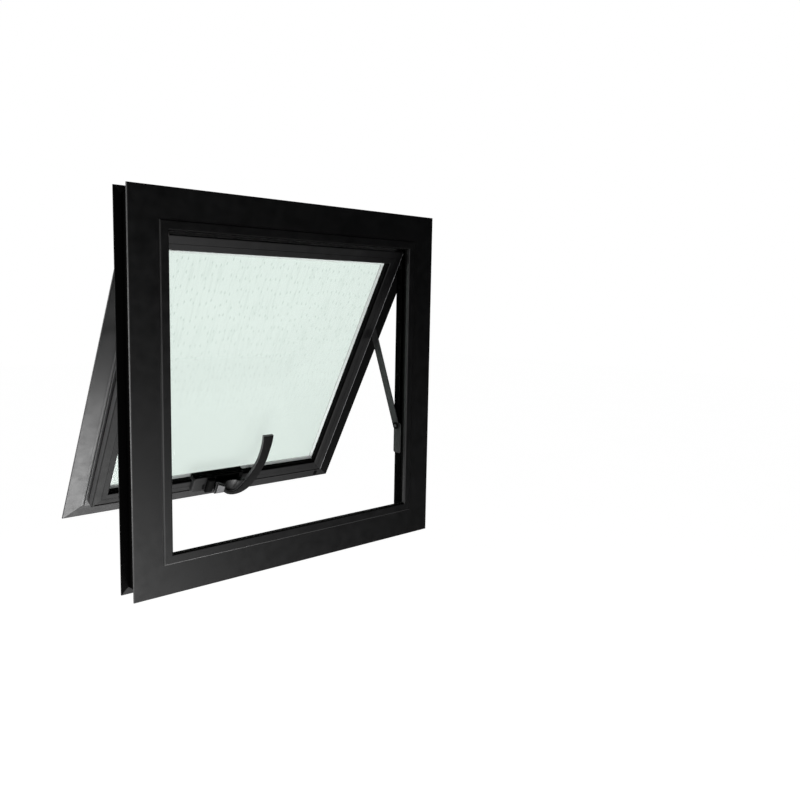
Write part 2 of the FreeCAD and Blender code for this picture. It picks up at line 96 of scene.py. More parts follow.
class Wiring:
    """A node tree while it is being wired."""

    def __init__(self, tree: bpy.types.NodeTree) -> None:
        """Start with an empty tree."""
        self.tree = tree
        self.tree.nodes.clear()

    def add(self, kind: str, **settings: object) -> bpy.types.Node:
        """Add a node and set its plain settings.

        Args:
            kind: Node type name.
            settings: Attributes of the node.

        Returns:
            The new node.
        """
        node = self.tree.nodes.new(kind)
        for key, value in settings.items():
            setattr(node, key, value)
        return node

    def link(self, source: Socket, target: Socket) -> None:
        """Wire one socket to another."""
        self.tree.links.new(source, target)

    def combine(self, kind: str, first: Socket, second: Socket | float) -> Socket:
        """Work out one value from two.

        Args:
            kind: Operation, such as MULTIPLY.
            first: One value.
            second: The other value, or a plain number.

        Returns:
            The result.
        """
        node = self.add("ShaderNodeMath", operation=kind)
        self.link(first, node.inputs[0])
        if isinstance(second, float):
            node.inputs[1].default_value = second
        else:
            self.link(second, node.inputs[1])
        return node.outputs["Value"]

    def seen_rays(self, strength: float) -> Socket:
        """Give a strength to the rays that show the background, and none to the rest.

        Args:
            strength: Strength for camera, mirrored and transmitted rays.

        Returns:
            The strength by ray.
        """
        rays = self.add("ShaderNodeLightPath").outputs
        kinds = ("Is Camera Ray", "Is Glossy Ray", "Is Transmission Ray")
        seen = reduce(partial(self.combine, "MAXIMUM"), [rays[kind] for kind in kinds])
        return self.combine("MULTIPLY", seen, strength)


class NodeBench(Wiring):
    """One material's node tree while it is being wired."""

    def __init__(self, name: str) -> None:
        """Start an empty tree with an output.

        Args:
            name: Name of the material.
        """
        self.material = bpy.data.materials.new(name)
        self.material.use_nodes = True
        super().__init__(self.material.node_tree)
        self.output = self.add("ShaderNodeOutputMaterial")
        self.coordinates = self.add("ShaderNodeTexCoord").outputs["Object"]

    def stretched(self, stretch: Sequence[float]) -> Socket:
        """Stretch the object coordinates for a pattern with a direction.

        Args:
            stretch: Scale along each axis.

        Returns:
            The mapped coordinates.
        """
        node = self.add("ShaderNodeMapping")
        self.link(self.coordinates, node.inputs["Vector"])
        node.inputs["Scale"].default_value = stretch
        return node.outputs["Vector"]

    def noise(self, grain: float, detail: float = 2.0,
              vector: Socket | None = None) -> Socket:
        """Add a noise pattern.

        Args:
            grain: Size of one blotch in metres.
            detail: Octaves of finer noise.
            vector: Coordinates, the plain object coordinates where none are given.

        Returns:
            The pattern's value from 0 to 1.
        """
        node = self.add("ShaderNodeTexNoise")
        self.link(vector or self.coordinates, node.inputs["Vector"])
        node.inputs["Scale"].default_value = 1.0 / grain
        node.inputs["Detail"].default_value = detail
        return node.outputs["Fac"]

    def remap(self, value: Socket, low: float, high: float,
              start: float = 0.3, end: float = 0.7) -> Socket:
        """Spread a pattern between two values.

        Args:
            value: Pattern to spread.
            low: Result at the pattern's start.
            high: Result at the pattern's end.
            start: Pattern value that gives low.
            end: Pattern value that gives high.

        Returns:
            The spread value.
        """
        node = self.add("ShaderNodeMapRange")
        self.link(value, node.inputs["Value"])
        node.inputs["From Min"].default_value = start
        node.inputs["From Max"].default_value = end
        node.inputs["To Min"].default_value = low
        node.inputs["To Max"].default_value = high
        return node.outputs["Result"]

    def ramp(self, value: Socket, low: Colour, high: Colour,
             start: float = 0.3, end: float = 0.7) -> Socket:
        """Colour a pattern between two tones.

        Args:
            value: Pattern to colour.
            low: Tone at the pattern's start.
            high: Tone at the pattern's end.
            start: Pattern value that gives the low tone.
            end: Pattern value that gives the high tone.

        Returns:
            The colour.
        """
        node = self.add("ShaderNodeValToRGB")
        self.link(value, node.inputs["Fac"])
        first, last = node.color_ramp.elements
        first.position, first.color = start, (*low, 1.0)
        last.position, last.color = end, (*high, 1.0)
        return node.outputs["Color"]

    def along(self, way: Sequence[float]) -> Socket:
        """Measure how far a point of the surface lies along a direction.

        Args:
            way: Direction of the piece.

        Returns:
            The distance in metres.
        """
        node = self.add("ShaderNodeVectorMath", operation="DOT_PRODUCT")
        self.link(self.coordinates, node.inputs[0])
        node.inputs[1].default_value = way
        return node.outputs["Value"]

    def band(self, band: "Band") -> Socket:
        """Shade the surface by its place along a direction.

        Args:
            band: Direction and shares of light.

        Returns:
            The shade as a grey colour.
        """
        low, high = band.stops[0][0], band.stops[-1][0]
        place = self.remap(self.along(band.way), 0.0, 1.0, low, high)
        node = self.add("ShaderNodeValToRGB")
        self.link(place, node.inputs["Fac"])
        marks = node.color_ramp.elements
        while len(marks) < len(band.stops):
            marks.new(1.0)
        for mark, (level, share) in zip(marks, band.stops):
            mark.position = (level - low) / (high - low)
            mark.color = (share, share, share, 1.0)
        return node.outputs["Color"]

    def blend(self, kind: str, first: Socket, second: Socket) -> Socket:
        """Blend two colours.

        Args:
            kind: How the second acts on the first, such as MULTIPLY.
            first: Colour below.
            second: Colour above.

        Returns:
            The blended colour.
        """
        node = self.add("ShaderNodeMix", data_type="RGBA", blend_type=kind)
        node.inputs["Factor"].default_value = 1.0
        for socket, colour in zip([i for i in node.inputs if i.type == "RGBA"], (first, second)):
            self.link(colour, socket)
        return [o for o in node.outputs if o.type == "RGBA"][0]

    def region(self, region: "Region") -> Socket:
        """Shade a region, where all its bands are low."""
        shades = [self.band(band) for band in region.bands]
        return reduce(partial(self.blend, "LIGHTEN"), shades)

    def product(self, regions: Sequence["Region"]) -> Socket:
        """Shade several regions at once."""
        return reduce(partial(self.blend, "MULTIPLY"), [self.region(r) for r in regions])

    def paint_shade(self, colour: Socket, roughness: Socket,
                 recesses: Sequence["Region"]) -> tuple[Socket, ...]:
        """Paint shade into a coat: darker, with its gloss taken out, in its recesses.

        Args:
            colour: Colour of the coat.
            roughness: Roughness of the coat.
            recesses: Regions of the piece that get painted shade.

        Returns:
            The colour, the roughness and the tint of the gloss, each with the painted shade.
        """
        tint = self.product(recesses)
        shade_roughness = self.add("ShaderNodeMix", data_type="FLOAT")
        self.link(tint, shade_roughness.inputs["Factor"])
        shade_roughness.inputs["A"].default_value = 1.0
        self.link(roughness, shade_roughness.inputs["B"])
        return self.blend("MULTIPLY", colour, tint), shade_roughness.outputs["Result"], tint

    def paint_highlight(self, colour: Socket, edges: Sequence["Region"], highlight_colour: Colour) -> Socket:
        """Paint highlights onto a coat, lighter towards a highlight colour where light catches it.

        Args:
            colour: Colour of the coat.
            edges: Regions that get a painted highlight.
            highlight_colour: Colour of the painted highlight.

        Returns:
            The colour with its painted highlights.
        """
        node = self.add("ShaderNodeMix", data_type="RGBA")
        self.link(self.product(edges), node.inputs["Factor"])
        first, second = [i for i in node.inputs if i.type == "RGBA"]
        first.default_value = (*highlight_colour, 1.0)
        self.link(colour, second)
        return [o for o in node.outputs if o.type == "RGBA"][0]

    def soft_edge(self, radius: float) -> Socket:
        """Round the shading over sharp edges.

        Args:
            radius: Radius of the edge in metres.

        Returns:
            The rounded normal.
        """
        node = self.add("ShaderNodeBevel", samples=6)
        node.inputs["Radius"].default_value = radius
        return node.outputs["Normal"]

    def bump(self, height: Socket, depth: float, normal: Socket | None = None) -> Socket:
        """Raise a pattern from the surface.

        Args:
            height: Pattern from 0 to 1.
            depth: Height of the pattern in metres.
            normal: Normal to start from.

        Returns:
            The bumped normal.
        """
        node = self.add("ShaderNodeBump")
        node.inputs["Strength"].default_value = 1.0
        node.inputs["Distance"].default_value = depth
        self.link(height, node.inputs["Height"])
        if normal is not None:
            self.link(normal, node.inputs["Normal"])
        return node.outputs["Normal"]

    def surface(self, colour: Socket, roughness: Socket, normal: Socket, tint: Socket | None = None,
                passing: Socket | None = None, **fixed: float) -> Material:
        """Close the material with one shader.

        Args:
            colour: Base colour.
            roughness: Roughness pattern.
            normal: Normal of the surface.
            tint: Colour of the gloss, where it isn't white.
            passing: Share of the light that passes through, where any does.
            fixed: Numbers that are the same all over, by socket name.

        Returns:
            The finished material.
        """
        shader = self.add("ShaderNodeBsdfPrincipled")
        self.link(colour, shader.inputs["Base Color"])
        self.link(roughness, shader.inputs["Roughness"])
        self.link(normal, shader.inputs["Normal"])
        if tint is not None:
            self.link(tint, shader.inputs["Specular Tint"])
        if passing is not None:
            self.link(passing, shader.inputs["Transmission Weight"])
        for key, value in fixed.items():
            shader.inputs[key.replace("_", " ")].default_value = value
        self.link(shader.outputs["BSDF"], self.output.inputs["Surface"])
        return self.material


@dataclass(frozen=True)
class Band:
    """Shares along a direction of a piece, at places in metres from low to high."""

    way: Sequence[float]
    stops: tuple[Pair, ...]


@dataclass(frozen=True)
class Region:
    """Part of a piece where all its bands are low."""

    bands: tuple[Band, ...]


@dataclass(frozen=True)
class Finish:
    """Skin of a piece. Its patterns are pairs of a grain in metres and its octaves."""

    name: str
    dark: Colour = (0.0, 0.0, 0.0)
    light: Colour = (0.0, 0.0, 0.0)
    cloud: Pair = (10 * MM, 3.0)
    sheen: Pair = (1 * MM, 2.0)
    relief: Pair = (1 * MM, 2.0)
    smooth: float = 0.4
    rough: float = 0.5
    gloss: float = 0.5
    metallic: float = 0.0
    depth: float = 0.01 * MM
    soft_edge: float = 0.0
    drawing: Point | None = None
    # The recesses darken the coat and take out its gloss: painted shade. The edges lighten it towards
    # the highlight colour: painted highlights.
    recesses: tuple[Region, ...] = ()
    edges: tuple[Region, ...] = ()
    highlight_colour: Colour = (0.30, 0.30, 0.31)

    def material(self) -> Material:
        """Wire the skin: a clouded tone, an uneven sheen and a fine relief, with painted shade in its
        recesses and painted highlights on its edges.

        Returns:
            The finished material.
        """
        bench = NodeBench(self.name)
        place = bench.stretched(self.drawing) if self.drawing else None
        colour = bench.ramp(bench.noise(*self.cloud), self.dark, self.light)
        roughness = bench.remap(bench.noise(*self.sheen, place), self.smooth, self.rough)
        edge = bench.soft_edge(self.soft_edge) if self.soft_edge else None
        normal = bench.bump(bench.noise(*self.relief, place), self.depth, edge)
        tint = None
        if self.recesses:
            colour, roughness, tint = bench.paint_shade(colour, roughness, self.recesses)
        if self.edges:
            colour = bench.paint_highlight(colour, self.edges, self.highlight_colour)
        return bench.surface(colour, roughness, normal, tint,
                             Specular_IOR_Level=self.gloss, Metallic=self.metallic)


@dataclass(frozen=True)
class PowderCoat(Finish):
    """Satin black powder coat with the fine peel of baked paint."""

    dark: Colour = (0.0022, 0.0022, 0.0024)
    light: Colour = (0.0038, 0.0038, 0.0041)
    cloud: Pair = (60 * MM, 3.0)
    sheen: Pair = (15 * MM, 4.0)
    relief: Pair = (0.9 * MM, 1.0)
    smooth: float = 0.34
    rough: float = 0.44
    gloss: float = 0.34
    depth: float = 0.012 * MM


@dataclass(frozen=True)
class SealRubber(Finish):
    """Matte black extruded rubber with a cloudy bloom over a fine grain."""

    name: str = "seal_rubber"
    dark: Colour = (0.0012, 0.0012, 0.0012)
    light: Colour = (0.0030, 0.0030, 0.0030)
    cloud: Pair = (12 * MM, 3.0)
    sheen: Pair = (1.5 * MM, 2.0)
    relief: Pair = (1.5 * MM, 2.0)
    smooth: float = 0.80
    rough: float = 0.95
    gloss: float = 0.06
    depth: float = 0.02 * MM
    soft_edge: float = 0.5 * MM


@dataclass(frozen=True)
class CoatedSteel(Finish):
    """Pressed steel strip with a thin dark coat, drawn along its length."""

    dark: Colour = (0.016, 0.016, 0.0165)
    light: Colour = (0.026, 0.026, 0.0265)
    cloud: Pair = (25 * MM, 3.0)
    sheen: Pair = (2.5 * MM, 3.0)
    relief: Pair = (2.5 * MM, 3.0)
    smooth: float = 0.36
    rough: float = 0.50
    gloss: float = 0.38
    soft_edge: float = 0.3 * MM
    drawing: Point | None = (1.0, 1.0, 0.06)


@dataclass(frozen=True)
class BareCasting(Finish):
    """Bare die-cast metal, tumbled, with a few handling marks."""

    cloud: Pair = (7.2 * MM, 2.0)
    sheen: Pair = (1.2 * MM, 4.0)
    relief: Pair = (1.2 * MM, 4.0)
    smooth: float = 0.38
    rough: float = 0.55
    metallic: float = 0.7
    depth: float = 0.015 * MM
    soft_edge: float = 0.5 * MM


@dataclass(frozen=True)
class ObscureGlass:
    """Pale green obscure glass, rolled with small beads on faint runs down the pane."""

    rise: Point
    fade: Pair
    rolled: Band
    rim: tuple[Region, ...]
    name: str = "obscure_glass"
    clear: Colour = (0.80, 0.895, 0.843)
    shaded: Colour = (0.54, 0.65, 0.59)
    # Colour of the rim along the gasket: a painted highlight in place of the shade there.
    rim_highlight: Colour = (0.94, 1.0, 0.97)
    # Share of the colour at the pane's foot: painted shade.
    foot_shade: float = 0.93
    bead_across: float = 10 * MM
    bead_down: float = 25 * MM
    bead_size: Pair = (0.05, 0.17)
    scatter: float = 0.6
    run_across: float = 5 * MM
    run_down: float = 60 * MM
    run_size: Pair = (0.52, 0.70)
    run_share: float = 0.30
    foot_share: float = 0.1
    depth: float = 0.08 * MM
    cloud: float = 20 * MM
    smooth: float = 0.04
    rough: float = 0.08
    passing: Pair = (0.08, 0.9)
    refraction: float = 1.15

    def material(self) -> Material:
        """Wire the glass: a tinted pane in relief, darker towards its foot as painted shade, with a
        painted highlight along the gasket where the pane is lighter and passes less light.

        Returns:
            The finished material.
        """
        bench = NodeBench(self.name)
        relief = self.relief(bench)
        foot_shade = bench.band(Band(self.rise, ((self.fade[0], self.foot_shade), (self.fade[1], 1.0))))
        tinted = bench.blend("MULTIPLY", bench.ramp(relief, self.clear, self.shaded, 0.0, 1.0), foot_shade)
        colour = bench.paint_highlight(tinted, self.rim, self.rim_highlight)
        roughness = bench.remap(bench.noise(self.cloud, 3.0), self.smooth, self.rough)
        normal = bench.bump(relief, self.depth)
        passing = bench.remap(bench.product(self.rim), *self.passing, 0.0, 1.0)
        return bench.surface(colour, roughness, normal, passing=passing, IOR=self.refraction)

    def relief(self, bench: NodeBench) -> Socket:
        """Wire the beads and runs on the room side, weaker towards the pane's foot.

        Args:
            bench: Tree of the material.

        Returns:
            The relief from 0 to 1.
        """
        cells = bench.add("ShaderNodeTexVoronoi", voronoi_dimensions="2D")
        cells.inputs["Scale"].default_value = 1.0
        cells.inputs["Randomness"].default_value = self.scatter
        bench.link(self.flat(bench, self.bead_across, self.bead_down), cells.inputs["Vector"])
        beads = bench.remap(cells.outputs["Distance"], 1.0, 0.0, *self.bead_size)
        drawn = bench.add("ShaderNodeTexNoise", noise_dimensions="2D")
        drawn.inputs["Scale"].default_value = 1.0
        drawn.inputs["Detail"].default_value = 2.0
        bench.link(self.flat(bench, self.run_across, self.run_down), drawn.inputs["Vector"])
        runs = bench.remap(drawn.outputs["Fac"], 0.0, self.run_share, *self.run_size)
        share = bench.remap(bench.along(self.rise), self.foot_share, 1.0, *self.fade)
        faded = bench.combine("MULTIPLY", bench.combine("MAXIMUM", beads, runs), share)
        return bench.combine("MULTIPLY", faded, bench.band(self.rolled))

    def flat(self, bench: NodeBench, across: float, down: float) -> Socket:
        """Lay the pattern's cells flat on the pane.

        Args:
            bench: Tree of the material.
            across: Width of a cell.
            down: Height of a cell.

        Returns:
            The coordinates on the pane, in cells.
        """
        node = bench.add("ShaderNodeCombineXYZ")
        bench.link(bench.along((1 / across, 0, 0)), node.inputs["X"])
        bench.link(bench.along([c / down for c in self.rise]), node.inputs["Y"])
        return node.outputs["Vector"]


@dataclass(frozen=True)
class StageCloth:
    """Matte paper or cloth of the stage, which may stay white behind the window."""

    name: str
    dark: Colour
    light: Colour
    grain: float
    fill: float = 0.0

    def material(self) -> Material:
        """Wire the cloth, with a white of its own for seen rays where it has a fill.

        Returns:
            The finished material.
        """
        bench = NodeBench(self.name)
        matte = bench.add("ShaderNodeBsdfDiffuse")
        tone = bench.ramp(bench.noise(self.grain, 2.0), self.dark, self.light)
        bench.link(tone, matte.inputs["Color"])
        shown = matte.outputs["BSDF"]
        if self.fill:
            glow = bench.add("ShaderNodeEmission")
            bench.link(bench.seen_rays(self.fill), glow.inputs["Strength"])
            both = bench.add("ShaderNodeAddShader")
            bench.link(shown, both.inputs[0])
            bench.link(glow.outputs["Emission"], both.inputs[1])
            shown = both.outputs["Shader"]
        bench.link(shown, bench.output.inputs["Surface"])
        return bench.material


class Workbench:
    """Modelling by hand: one piece on the bench at a time, its foot at the origin."""

    @staticmethod
    def clear() -> None:
        """Deselect everything and leave edit mode."""
        if bpy.context.object is not None and bpy.context.object.mode != "OBJECT":
            bpy.ops.object.mode_set(mode="OBJECT")
        bpy.ops.object.select_all(action="DESELECT")

    @staticmethod
    def take(piece: Piece) -> None:
        """Make one piece the only selected and active one.

        Args:
            piece: Piece to work on.
        """
        Workbench.clear()
        piece.select_set(True)
        bpy.context.view_layer.objects.active = piece

    @staticmethod
    def disc(name: str, radius: float, height: float, sides: int = 32) -> Piece:
        """Start a round piece that stands on the origin.

        Args:
            name: Name of the piece.
            radius: Radius in metres.
            height: Height in metres.
            sides: Number of sides.

        Returns:
            The new object.
        """
        Workbench.clear()
        bpy.ops.mesh.primitive_cylinder_add(
            vertices=sides, radius=radius, depth=height, location=(0, 0, height / 2))
        return Workbench.named(name)

    @staticmethod
    def block(name: str, width: float, depth: float, height: float) -> Piece:
        """Start a square piece that stands on the origin.

        Args:
            name: Name of the piece.
            width: Size along X in metres.
            depth: Size along Y in metres.
            height: Size along Z in metres.

        Returns:
            The new object.
        """
        Workbench.clear()
        bpy.ops.mesh.primitive_cube_add(
            size=1, location=(0, 0, height / 2), scale=(width, depth, height))
        return Workbench.named(name)

    @staticmethod
    def named(name: str) -> Piece:
        """Name the new piece and put its place into its mesh.

        Args:
            name: Name of the piece.

        Returns:
            The piece.
        """
        piece = bpy.context.object
        piece.name = piece.data.name = name
        bpy.ops.object.transform_apply(location=True, rotation=True, scale=True)
        return piece

    @staticmethod
    @contextmanager
    def editing(piece: Piece) -> Iterator[None]:
        """Open a piece in edit mode with nothing selected, and close it after.

        Args:
            piece: Piece to shape.
        """
        Workbench.take(piece)
        bpy.ops.object.mode_set(mode="EDIT")
        bpy.ops.mesh.select_mode(type="FACE")
        bpy.ops.mesh.select_all(action="DESELECT")
        yield
        bpy.ops.object.mode_set(mode="OBJECT")

    @staticmethod
    def pick(piece: Piece, part: Part, wanted: Callable[[Element], bool]) -> None:
        """Select parts of the piece in edit mode by a test.

        Args:
            piece: Piece in edit mode.
            part: Points, edges or faces.
            wanted: Test of one of them.
        """
        mode, rows = part.value
        bpy.ops.mesh.select_mode(type=mode)
        bpy.ops.mesh.select_all(action="DESELECT")
        mesh = bmesh.from_edit_mesh(piece.data)
        for element in getattr(mesh, rows):
            element.select_set(wanted(element))
        mesh.select_flush_mode()
        bmesh.update_edit_mesh(piece.data)

    @staticmethod
    def plate(name: str, size: Point, corner: float, steps: int) -> Piece:
        """Start a thin plate with round corners.

        Args:
            name: Name of the piece.
            size: Width, height and thickness in metres.
            corner: Size of the rounding at a corner.
            steps: Steps of the rounding.

        Returns:
            The new object, lying on the origin.
        """
        plate = Workbench.block(name, *size)
        with Workbench.editing(plate):
            Workbench.pick(plate, Part.EDGES,
                           lambda e: abs(e.verts[0].co.z - e.verts[1].co.z) > size[2] / 2)
            bpy.ops.mesh.bevel(offset=corner, segments=steps)
        return plate

    @staticmethod
    def sink(piece: Piece, rim: float, depth: float) -> None:
        """Sink or raise the top of a piece inside a rim.

        Args:
            piece: Piece that stands on the origin.
            rim: Width of the rim.
            depth: How far the top moves, down where it is negative.
        """
        with Workbench.editing(piece):
            Workbench.pick(piece, Part.FACES, lambda f: f.normal.z > FLAT)
            bpy.ops.mesh.inset(thickness=rim)
            bpy.ops.transform.translate(value=(0, 0, depth))

    @staticmethod
    def round_edges(piece: Piece, width: float, segments: int = 2) -> None:
        """Round the sharp edges of a whole piece.

        Args:
            piece: Piece to round.
            width: Width of the rounding in metres.
            segments: Steps of the rounding.
        """
        Workbench.take(piece)
        rounding = piece.modifiers.new("rounding", "BEVEL")
        rounding.width = width
        rounding.segments = segments
        rounding.limit_method = "ANGLE"
        bpy.ops.object.modifier_apply(modifier=rounding.name)

    @staticmethod
    def cut(piece: Piece, cutter: Piece) -> None:
        """Cut one piece out of another and throw the cutter away.

        Args:
            piece: Piece that stays.
            cutter: Piece that is taken out of it.
        """
        Workbench.take(piece)
        hollow = piece.modifiers.new("hollow", "BOOLEAN")
        hollow.object = cutter
        hollow.operation = "DIFFERENCE"
        hollow.solver = "EXACT"
        bpy.ops.object.modifier_apply(modifier=hollow.name)
        bpy.data.objects.remove(cutter)

    @staticmethod
    def smooth(piece: Piece, angle: float = math.radians(32)) -> None:
        """Shade the rounded faces smooth and keep the corners crisp."""
        Workbench.take(piece)
        bpy.ops.object.shade_smooth_by_angle(angle=angle)

    @staticmethod
    def copy(piece: Piece, name: str) -> Piece:
        """Copy a piece with a mesh of its own.

        Args:
            piece: Piece to copy.
            name: Name of the copy.

        Returns:
            The copy.
        """
        twin = piece.copy()
        twin.data = piece.data.copy()
        twin.name = twin.data.name = name
        bpy.context.collection.objects.link(twin)
        return twin

    @staticmethod
    def fit(piece: Piece, place: Matrix, slot: Slot, finish: Material) -> None:
        """Fit a finished piece to the window: its place, its finish and its body.

        Args:
            piece: Piece that stands on the origin.
            place: Where its foot goes and how it is turned.
            slot: Material slot of the record; not used.
            finish: Material of the piece.
        """
        Workbench.take(piece)
        piece.matrix_world = place
        bpy.ops.object.transform_apply(location=True, rotation=True, scale=True)
        piece.data.materials.clear()
        piece.data.materials.append(finish)
        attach(piece, BODY)
        log.info("piece %s fitted", piece.name)


def axes(across: Vector, along: Vector, out: Vector, place: Vector) -> Matrix:
    """Make a placement from three axes and a point.

    Args:
        across: Direction of the piece's X.
        along: Direction of the piece's Y.
        out: Direction of the piece's Z.
        place: Point where the piece's foot goes.

    Returns:
        The placement.
    """
    turn = Matrix((across, along, out)).transposed().to_4x4()
    return Matrix.Translation(place) @ turn


@dataclass
class SashPlane:
    """The open sash's own axes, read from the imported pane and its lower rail."""

    across: Vector = field(default_factory=lambda: Vector((1, 0, 0)))
    face: Vector = field(init=False)
    rise: Vector = field(init=False)
    foot: float = field(init=False)

    def __post_init__(self) -> None:
        """Read the pane's room face and the sash's lower edge."""
        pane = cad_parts["glass_pane"].data
        room_faces = [p for p in pane.polygons if p.normal.y < -0.5]
        self.face = max(room_faces, key=lambda p: p.area).normal.copy()
        self.rise = self.face.cross(self.across)
        self.foot = min(self.levels("sash_rail_bottom", self.rise))

    def levels(self, node: str, direction: Vector) -> list[float]:
        """List how far a node's points lie along a direction."""
        return [v.co.dot(direction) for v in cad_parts[node].data.vertices]

    def front_of(self, node: str) -> float:
        """Give the level of a node's face towards the room."""
        return max(self.levels(node, self.face))

    def back_of(self, node: str) -> float:
        """Give the level of a node's face away from the room."""
        return min(self.levels(node, self.face))

    def spot(self, x: float, rise: float, level: float) -> Matrix:
        """Place a piece flat on the sash.

        Args:
            x: Distance to the right of the middle.
            rise: Distance up the sash from its lower edge.
            level: Level of the face that carries the piece.

        Returns:
            The placement, with Z towards the room.
        """
        point = self.across * x + self.rise * (self.foot + rise) + self.face * level
        return axes(self.across, self.rise, self.face, point)


@dataclass
class CrossScrew:
    """Small pan-head screw with a cross recess."""

    radius: float
    height: float
    sides: int = 28
    crown: float = 0.28
    dome: float = 0.18
    edge: float = 0.22
    blade: float = 0.9 * MM
    reach: float = 0.62
    sink: float = 0.7

    def build(self, name: str) -> Piece:
        """Model the head on the bench.

        Args:
            name: Name of the piece.

        Returns:
            The head, standing on the origin.
        """
        head = Workbench.disc(name, self.radius, self.height, self.sides)
        Workbench.sink(head, self.radius * self.crown, self.height * self.dome)
        Workbench.round_edges(head, self.height * self.edge, 3)
        Workbench.cut(head, self.recess(name + "_recess"))
        Workbench.smooth(head)
        return head

    def recess(self, name: str) -> Piece:
        """Model the cross that is driven into the head.

        Args:
            name: Name of the cutter.

        Returns:
            The cutter, standing in the head.
        """
        arm = self.radius * self.reach - self.blade / 2
        cross = Workbench.block(name, self.blade, self.blade, self.height * 2)
        with Workbench.editing(cross):
            Workbench.pick(cross, Part.FACES, lambda f: abs(f.normal.z) < 0.5)
            bpy.ops.mesh.extrude_faces_indiv()
            bpy.ops.transform.shrink_fatten(value=arm)
            bpy.ops.mesh.select_all(action="SELECT")
            bpy.ops.transform.translate(value=(0, 0, self.height * (1 - self.sink)))
        return cross


@dataclass
class Rivet:
    """Peened rivet head with a shallow dimple."""

    radius: float
    height: float
    rim: float = 0.45
    dimple: float = 0.25
    edge: float = 0.3

    def build(self, name: str) -> Piece:
        """Model the head on the bench.

        Args:
            name: Name of the piece.

        Returns:
            The head, standing on the origin.
        """
        head = Workbench.disc(name, self.radius, self.height)
        Workbench.sink(head, self.radius * self.rim, -self.height * self.dimple)
        Workbench.round_edges(head, self.height * self.edge, 3)
        Workbench.smooth(head)
        return head


@dataclass
class Frame:
    """The fixed outer frame with its seal."""

    seal: SealRubber = SealRubber()
    # Painted shade by depth: dark from just behind the trim to the back flange, dim on the back
    # flange.
    depth_stops: tuple[Pair, ...] = (
        (0.4 * MM, OPEN), (1.4 * MM, PITCH), (38.6 * MM, PITCH), (39.4 * MM, DIM),
        (41.4 * MM, DIM), (42.4 * MM, OPEN))
    # Painted highlights of the left jamb: a light line on the trim's outer edge and at the foot of
    # its nose, fading upwards.
    edge_width: float = 0.9 * MM
    edge_highlight: Colour = (0.10, 0.10, 0.10)
    nose_round: float = 2.2 * MM
    nose_start: float = 46.5 * MM
    nose_share: float = 0.35
    nose_fade: Pair = (60 * MM, 400 * MM)
    reveal: float = 19.5 * MM
    channel: float = 14 * MM
    blend: float = 4 * MM

    def dress(self) -> None:
        """Give the members their paint, with painted shade behind the trim, on the head's underside
        and on the sill's top, and painted highlights on the left jamb, and the seal its rubber.
        """
        left, right = (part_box(f"frame_jamb_{side}")[0][0] for side in ("left", "right"))
        under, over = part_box("frame_head")[0][2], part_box("frame_sill")[1][2]
        # Painted shade on the underside of the head and on the top of the sill.
        soffit = Region((Band(UP, ((under + 0.3 * MM, PITCH), (under + self.nose_round, OPEN))),))
        ledge = Region((Band(UP, ((over - self.nose_round, OPEN), (over - 0.3 * MM, PITCH))),))
        paints = {
            "frame_jamb_right": PowderCoat(
                "far_jamb_black", recesses=(self.behind(ACROSS, right + self.reveal, self.blend),)),
            "frame_jamb_left": PowderCoat(
                "jamb_black", edges=self.highlight_edges(left), highlight_colour=self.edge_highlight,
                recesses=(self.behind(ACROSS, left + self.channel, self.blend),)),
            "frame_head": PowderCoat(
                "head_black", recesses=(soffit, self.behind(UP, under + self.reveal, self.blend))),
            "frame_sill": PowderCoat(
                "sill_black", recesses=(ledge, self.behind(UP, over - self.reveal, -self.blend))),
        }
        for node, paint in paints.items():
            cover(node, paint.material())
        cover("frame_seal", self.seal.material())

    def behind(self, way: Point, end: float, blend: float) -> Region:
        """Find the part of a member that lies behind the trim, which gets painted shade.

        Args:
            way: Direction across the member.
            end: Place where the dark part ends.
            blend: Width over which it ends, and to which side.

        Returns:
            The region.
        """
        stops = sorted(((end, PITCH), (end + blend, OPEN)))
        return Region((Band(OUTWARD, self.depth_stops), Band(way, tuple(stops))))

    def highlight_edges(self, left: float) -> tuple[Region, ...]:
        """Find the painted highlights of the left jamb, along the edge of its trim and at the foot of
        its nose.

        Args:
            left: Outer edge of the jamb.

        Returns:
            The two edges.
        """
        foot, share = left + self.nose_start, self.nose_share
        trim = Region((
            Band(ACROSS, ((left + self.edge_width / 2, FULL_HIGHLIGHT), (left + self.edge_width, NO_HIGHLIGHT))),
            Band(OUTWARD, ((-2.4 * MM, FULL_HIGHLIGHT), (-1.8 * MM, NO_HIGHLIGHT)))))
        nose = Region((
            Band(ACROSS, ((foot - 1.0 * MM, NO_HIGHLIGHT), (foot - 0.4 * MM, share),
                          (foot + 1.6 * MM, share), (foot + 2.2 * MM, NO_HIGHLIGHT))),
            Band(OUTWARD, ((-3.3 * MM, FULL_HIGHLIGHT), (-2.9 * MM, NO_HIGHLIGHT))),
            Band(UP, tuple(zip(self.nose_fade, (FULL_HIGHLIGHT, NO_HIGHLIGHT))))))
        return trim, nose


